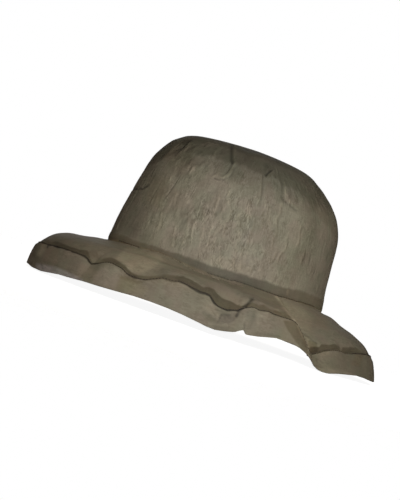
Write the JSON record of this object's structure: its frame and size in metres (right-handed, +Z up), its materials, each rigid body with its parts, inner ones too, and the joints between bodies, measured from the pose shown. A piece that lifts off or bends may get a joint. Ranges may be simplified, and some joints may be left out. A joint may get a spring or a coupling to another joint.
{
  "type": "beach hat",
  "caption": "Soft cloth beach hat with a domed oval crown, a sloping wavy brim and a turned-down edge band, standing on its brim.",
  "frame": {"origin": "middle of the hat's bounding box seen from above, on the floor its brim stands on", "axes": "+Z up through the crown; +X towards the front of the hat, along the longer half of the head oval; +Y towards the wearer's left"},
  "size_m": [0.334, 0.305, 0.1669],
  "materials": {
    "crown_cloth": "matte crinkled cloth",
    "brim_cloth": "matte cloth",
    "band_cloth": "matte cloth",
    "head_tape": "matte woven tape",
    "edge_tape": "matte woven tape"
  },
  "bodies": {
    "root": {"crown": "crown_cloth", "head_tape": "head_tape", "brim": "brim_cloth", "edge_tape": "edge_tape", "edge_band": "band_cloth"}
  },
  "joints": []
}
